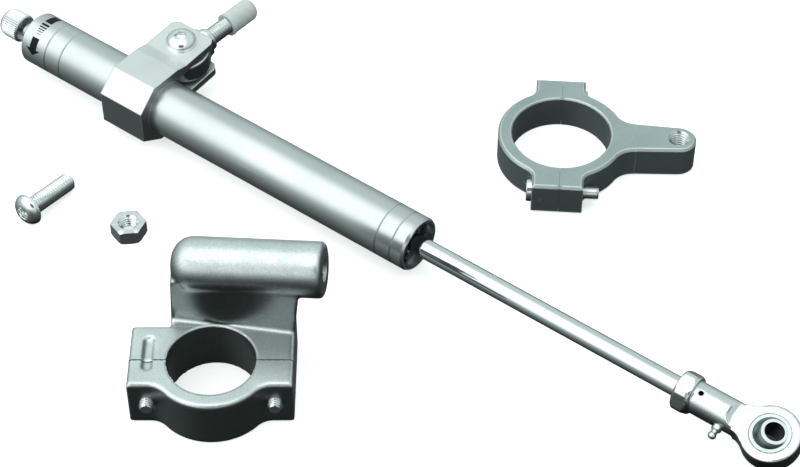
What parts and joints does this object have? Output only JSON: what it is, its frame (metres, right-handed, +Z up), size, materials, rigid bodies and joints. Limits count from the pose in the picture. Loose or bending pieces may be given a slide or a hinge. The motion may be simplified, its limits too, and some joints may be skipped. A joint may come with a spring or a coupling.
{
  "type": "motorcycle steering damper",
  "caption": "Adjustable tube steering damper with its rod extended, spherical ends and tube clamp, lying with its fork clamp, frame clamp, spare screw and spare nut.",
  "frame": {"origin": "centre of the ball in the rod eye, on the damper's axis", "axes": "+X along the damper from the adjuster knob to the rod eye; +Z up from the bench on which the kit lies, whose top is 15 mm below the origin; +Y to the side of the ball-jointed stud and the fork clamp"},
  "size_m": [0.4167, 0.2607, 0.0591],
  "materials": {
    "tube_aluminium": "satin clear anodised, turned",
    "turned_aluminium": "turned, plain",
    "knob_aluminium": "fine flutes, clear anodised",
    "clamp_aluminium": "milled and tumbled",
    "anodised_aluminium": "matte grey green anodised",
    "cast_aluminium": "sand cast, grainy",
    "cylinder_steel": "honed bore",
    "turned_steel": "turned and ground",
    "rod_end_steel": "zinc plated",
    "race_steel": "ground, slightly darker",
    "bearing_steel": "polished",
    "hard_chrome": "ground and hard chromed",
    "zinc_steel": "zinc plated",
    "spring_steel": "phosphated",
    "black_oxide_steel": "black oxide",
    "needle_brass": "turned",
    "guide_bronze": "sintered",
    "nitrile_rubber": "moulded",
    "cell_foam": "closed cell foam",
    "ring_ptfe": "filled plastic",
    "cap_polythene": "moulded, translucent white"
  },
  "bodies": {
    "barrel": {"outer_tube": "tube_aluminium", "inner_cylinder": "cylinder_steel", "valve_head": "turned_aluminium", "valve_head_seals": "nitrile_rubber", "rear_circlip": "spring_steel", "detent_ball": "bearing_steel", "detent_spring": "spring_steel", "spindle_seal": "nitrile_rubber", "reservoir_foam": "cell_foam", "rod_guide": "turned_aluminium", "guide_bushing": "guide_bronze", "rod_seal": "nitrile_rubber", "wiper_seal": "nitrile_rubber", "guide_seal": "nitrile_rubber", "front_circlip": "spring_steel", "tube_clamp": "clamp_aluminium", "clevis_screw": "zinc_steel", "clevis_nut": "zinc_steel"},
    "adjuster": {"adjuster_spindle": "turned_steel", "adjuster_knob": "knob_aluminium", "knob_set_screw": "black_oxide_steel"},
    "needle": {"metering_needle": "needle_brass"},
    "ring": {"piston_ring": "ring_ptfe"},
    "rod": {"piston_rod": "hard_chrome", "piston": "turned_aluminium", "piston_washer": "spring_steel", "piston_nut": "zinc_steel", "rod_eye_housing": "rod_end_steel", "rod_eye_race": "race_steel", "grease_nipple": "zinc_steel"},
    "eye_ball": {"rod_eye_ball": "bearing_steel"},
    "pivot_ball": {"frame_rod_end_ball": "bearing_steel"},
    "stud_end": {"frame_rod_end": "rod_end_steel", "frame_rod_end_race": "race_steel"},
    "cap": {"stud_cap": "cap_polythene"},
    "fork_clamp": {"fork_clamp_arm": "anodised_aluminium", "fork_clamp_cap": "anodised_aluminium", "fork_clamp_screws": "zinc_steel"},
    "frame_clamp": {"frame_clamp_bracket": "cast_aluminium", "frame_clamp_cap": "cast_aluminium", "frame_clamp_screws": "zinc_steel"},
    "spare_screw": {"loose_screw": "zinc_steel"},
    "spare_nut": {"loose_nut": "zinc_steel"}
  },
  "joints": [
    {"name": "adjuster_turn", "type": "hinge", "parent": "barrel", "child": "adjuster", "pos_m": [-0.3845, 0, 0], "axis": [1, 0, 0], "range_deg": [0, 330]},
    {"name": "needle_feed", "type": "slide", "parent": "barrel", "child": "needle", "axis": [1, 0, 0], "range_m": [0, 0.001]},
    {"name": "rod_slide", "type": "slide", "parent": "barrel", "child": "ring", "axis": [1, 0, 0], "range_m": [-0.12, 0]},
    {"name": "rod_turn", "type": "hinge", "parent": "ring", "child": "rod", "pos_m": [0, 0, 0], "axis": [1, 0, 0], "continuous": true},
    {"name": "eye_swivel", "type": "hinge", "parent": "rod", "child": "eye_ball", "pos_m": [0, 0, 0], "axis": [-0.5299, 0.8065, 0.2621], "range_deg": [-35, 1]},
    {"name": "clevis_turn", "type": "hinge", "parent": "barrel", "child": "pivot_ball", "pos_m": [-0.3184, 0.02485, 0.00545], "axis": [0, -0.0523, 0.9986], "range_deg": [-78, 82]},
    {"name": "stud_tilt", "type": "hinge", "parent": "pivot_ball", "child": "stud_end", "pos_m": [-0.3184, 0.02485, 0.00545], "axis": [-0.9962, 0.087, 0.0046], "range_deg": [-5, 5]},
    {"name": "stud_cap_off", "type": "slide", "parent": "stud_end", "child": "cap", "axis": [0.0872, 0.9948, 0.0521], "range_m": [0, 0.05]},
    {"name": "fork_clamp_lift", "type": "slide", "parent": "barrel", "child": "fork_clamp", "axis": [0, 0, 1], "range_m": [0, 0.06]},
    {"name": "frame_clamp_lift", "type": "slide", "parent": "barrel", "child": "frame_clamp", "axis": [0, 0, 1], "range_m": [0, 0.06]},
    {"name": "spare_screw_lift", "type": "slide", "parent": "barrel", "child": "spare_screw", "axis": [0, 0, 1], "range_m": [0, 0.06]},
    {"name": "spare_nut_lift", "type": "slide", "parent": "barrel", "child": "spare_nut", "axis": [0, 0, 1], "range_m": [0, 0.06]}
  ],
  "couplings": [
    {"joint": "needle_feed", "follows": "adjuster_turn", "m_per_rad": 0.00017362}
  ]
}
